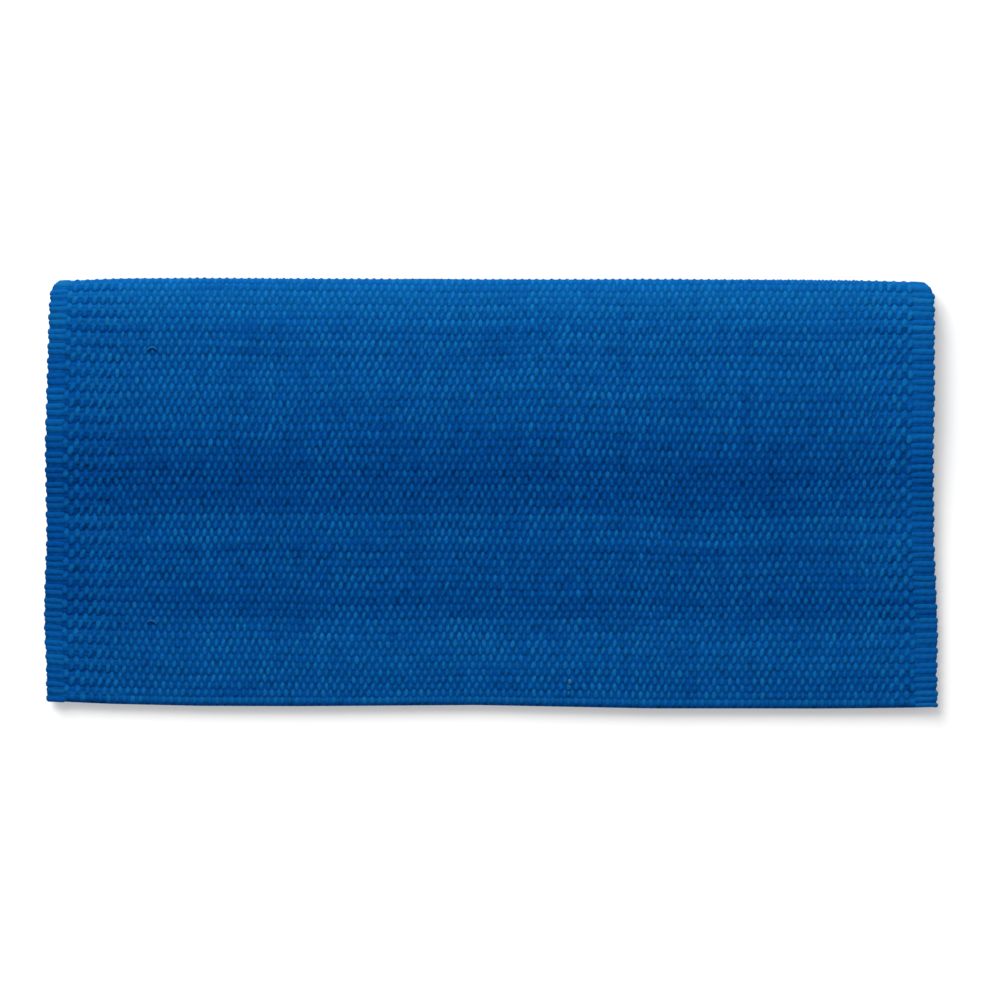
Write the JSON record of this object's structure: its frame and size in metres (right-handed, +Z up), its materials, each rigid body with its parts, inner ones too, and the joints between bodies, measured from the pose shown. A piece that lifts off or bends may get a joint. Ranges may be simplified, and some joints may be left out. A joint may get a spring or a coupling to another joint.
{
  "type": "saddle blanket",
  "caption": "Thick plain-woven wool saddle blanket, folded in half and lying flat, with ribbed selvedges and a soft rounded fold.",
  "frame": {"origin": "on the resting surface, under the middle of the folded blanket", "axes": "+X along the fold, from the left selvedge to the right one; +Y from the open hems to the fold; +Z up"},
  "size_m": [0.922, 0.4402, 0.0325],
  "materials": {
    "wool": "matt, coarse plain-woven wool, ocean blue"
  },
  "bodies": {
    "root": {"blanket": "wool"}
  },
  "joints": []
}
